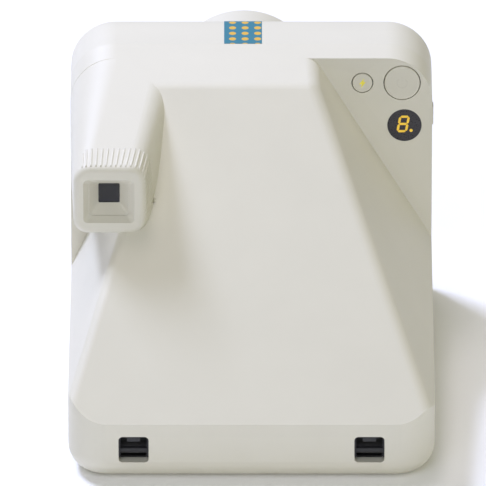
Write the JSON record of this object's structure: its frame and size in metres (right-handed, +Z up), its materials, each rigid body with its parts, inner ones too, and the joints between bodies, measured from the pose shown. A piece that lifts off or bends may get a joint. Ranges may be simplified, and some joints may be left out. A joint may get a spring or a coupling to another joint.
{
  "type": "instant camera",
  "caption": "Instant film camera with a sloping mirror back, offset viewfinder hump, front lens barrel, flash, film door with geared spreading rollers and small push buttons.",
  "frame": {"origin": "middle of the base, on the surface the camera stands on", "axes": "+Z up, -Y towards the lens side, +Y towards the user, +X towards the viewfinder side"},
  "size_m": [0.1127, 0.1504, 0.0941],
  "materials": {
    "shell": "fine matt moulded shell, warm off-white",
    "shell_button": "satin moulded button",
    "release": "satin red button",
    "black_plastic": "matt black moulding",
    "barrel": "satin moulded ring",
    "dark_box": "flat black",
    "blade": "blackened foil",
    "latch": "satin slider",
    "steel": "turned steel",
    "motor_case": "drawn steel can",
    "gear": "natural acetal",
    "solenoid": "enamelled winding",
    "mirror": "front-silvered glass",
    "optic": "clear optical plastic",
    "flash_lens": "ribbed clear plastic",
    "flash_lamp": "clear glass tube",
    "reflector": "bright metallised",
    "capacitor": "shrink sleeve",
    "smoked": "smoked window",
    "digit": "lit amber segments",
    "board": "green solder mask",
    "component": "black moulded component",
    "battery": "foil pouch",
    "light_pipe": "frosted light pipe",
    "film_sheet": "thin black sheet",
    "label": "printed label"
  },
  "bodies": {
    "camera": {"rear_cover": "shell", "front_cover": "shell", "base_housing": "shell", "eyepiece": "shell", "strap_pockets": "black_plastic", "film_chamber": "black_plastic", "lens_bezel": "black_plastic", "lens_cell": "black_plastic", "shutter_cover": "black_plastic", "shutter_plate": "black_plastic", "viewfinder_tube": "black_plastic", "gear_plate": "black_plastic", "lens_barrel": "barrel", "light_box": "dark_box", "hinge_pins": "steel", "case_screws": "steel", "latch_spring": "steel", "usb_socket": "steel", "motor": "motor_case", "shutter_solenoid": "solenoid", "mirror": "mirror", "front_glass": "optic", "front_lens": "optic", "eyepiece_lens": "optic", "viewfinder_window": "optic", "flash_window": "flash_lens", "flash_tube": "flash_lamp", "flash_reflector": "reflector", "flash_capacitor": "capacitor", "counter_window": "smoked", "light_sensor": "smoked", "counter_digit": "digit", "control_board": "board", "main_board": "board", "button_switches": "component", "counter_module": "component", "battery": "battery", "charge_light": "light_pipe", "colour_label": "label"},
    "film_door": {"film_door": "shell", "roller_brackets": "black_plastic", "roller_springs": "steel", "film_shield": "film_sheet"},
    "lower_roller": {"lower_roller": "steel", "lower_roller_gear": "gear"},
    "upper_roller": {"upper_roller": "steel", "upper_roller_gear": "gear"},
    "drive_gear": {"drive_gear": "gear"},
    "idler_gear": {"idler_gear": "gear"},
    "motor_pinion": {"motor_pinion": "gear"},
    "pick_arm": {"pick_arm": "gear"},
    "focus_disc": {"focus_disc": "black_plastic", "focus_lenses": "optic"},
    "shutter_blade_left": {"shutter_blade_left": "blade"},
    "shutter_blade_right": {"shutter_blade_right": "blade"},
    "power_button": {"power_button": "shell_button"},
    "flash_button": {"flash_button": "shell_button"},
    "shutter_button": {"shutter_button": "release"},
    "timer_button": {"timer_button": "shell_button"},
    "door_latch": {"door_latch": "latch"}
  },
  "joints": [
    {"name": "film_door_hinge", "type": "hinge", "parent": "camera", "child": "film_door", "pos_m": [0, -0.04225, 0.0028], "axis": [1, 0, 0], "range_deg": [0, 70]},
    {"name": "lower_roller_spin", "type": "hinge", "parent": "film_door", "child": "lower_roller", "pos_m": [0, -0.04525, 0.01635], "axis": [1, 0, 0], "continuous": true},
    {"name": "upper_roller_spin", "type": "hinge", "parent": "film_door", "child": "upper_roller", "pos_m": [0, -0.04525, 0.02565], "axis": [1, 0, 0], "continuous": true},
    {"name": "drive_gear_spin", "type": "hinge", "parent": "camera", "child": "drive_gear", "pos_m": [-0.0472, -0.03166, 0.0132], "axis": [1, 0, 0], "continuous": true},
    {"name": "idler_gear_spin", "type": "hinge", "parent": "camera", "child": "idler_gear", "pos_m": [-0.0472, -0.03192, 0.02994], "axis": [1, 0, 0], "continuous": true},
    {"name": "motor_pinion_spin", "type": "hinge", "parent": "camera", "child": "motor_pinion", "pos_m": [-0.0472, -0.03675, 0.04], "axis": [1, 0, 0], "continuous": true},
    {"name": "pick_arm_slide", "type": "slide", "parent": "camera", "child": "pick_arm", "axis": [0, -1, 0], "range_m": [0, 0.014], "stiffness_N_per_m": 12, "springref_m": -0.004},
    {"name": "focus_disc_turn", "type": "hinge", "parent": "camera", "child": "focus_disc", "pos_m": [-0.0066, -0.04885, 0.066], "axis": [0, -1, 0], "range_deg": [0, 64]},
    {"name": "shutter_blade_left_swing", "type": "hinge", "parent": "camera", "child": "shutter_blade_left", "pos_m": [0.0144, -0.04395, 0.057], "axis": [0, 1, 0], "range_deg": [0, 60], "stiffness_Nm_per_rad": 0.0004, "springref_deg": -28.65},
    {"name": "shutter_blade_right_swing", "type": "hinge", "parent": "camera", "child": "shutter_blade_right", "pos_m": [-0.0096, -0.04475, 0.057], "axis": [0, -1, 0], "range_deg": [0, 60]},
    {"name": "power_button_press", "type": "slide", "parent": "camera", "child": "power_button", "axis": [0, -0.9976, -0.0698], "range_m": [0, 0.0008], "stiffness_N_per_m": 500, "springref_m": -0.001},
    {"name": "flash_button_press", "type": "slide", "parent": "camera", "child": "flash_button", "axis": [0, -0.9976, -0.0698], "range_m": [0, 0.0008], "stiffness_N_per_m": 500, "springref_m": -0.001},
    {"name": "shutter_button_press", "type": "slide", "parent": "camera", "child": "shutter_button", "axis": [0, 1, 0], "range_m": [0, 0.0012], "stiffness_N_per_m": 500, "springref_m": -0.001},
    {"name": "timer_button_press", "type": "slide", "parent": "camera", "child": "timer_button", "axis": [0, 1, 0], "range_m": [0, 0.001], "stiffness_N_per_m": 500, "springref_m": -0.001},
    {"name": "door_latch_slide", "type": "slide", "parent": "camera", "child": "door_latch", "axis": [0, 0, 1], "range_m": [0, 0.003], "stiffness_N_per_m": 200, "springref_m": -0.002, "deforming": ["latch_spring"]}
  ],
  "couplings": [
    {"joint": "upper_roller_spin", "follows": "lower_roller_spin", "ratio": -1},
    {"joint": "drive_gear_spin", "follows": "lower_roller_spin", "ratio": -0.5},
    {"joint": "idler_gear_spin", "follows": "lower_roller_spin", "ratio": 0.625},
    {"joint": "motor_pinion_spin", "follows": "lower_roller_spin", "ratio": -1.25},
    {"joint": "shutter_blade_right_swing", "follows": "shutter_blade_left_swing", "ratio": 1}
  ]
}
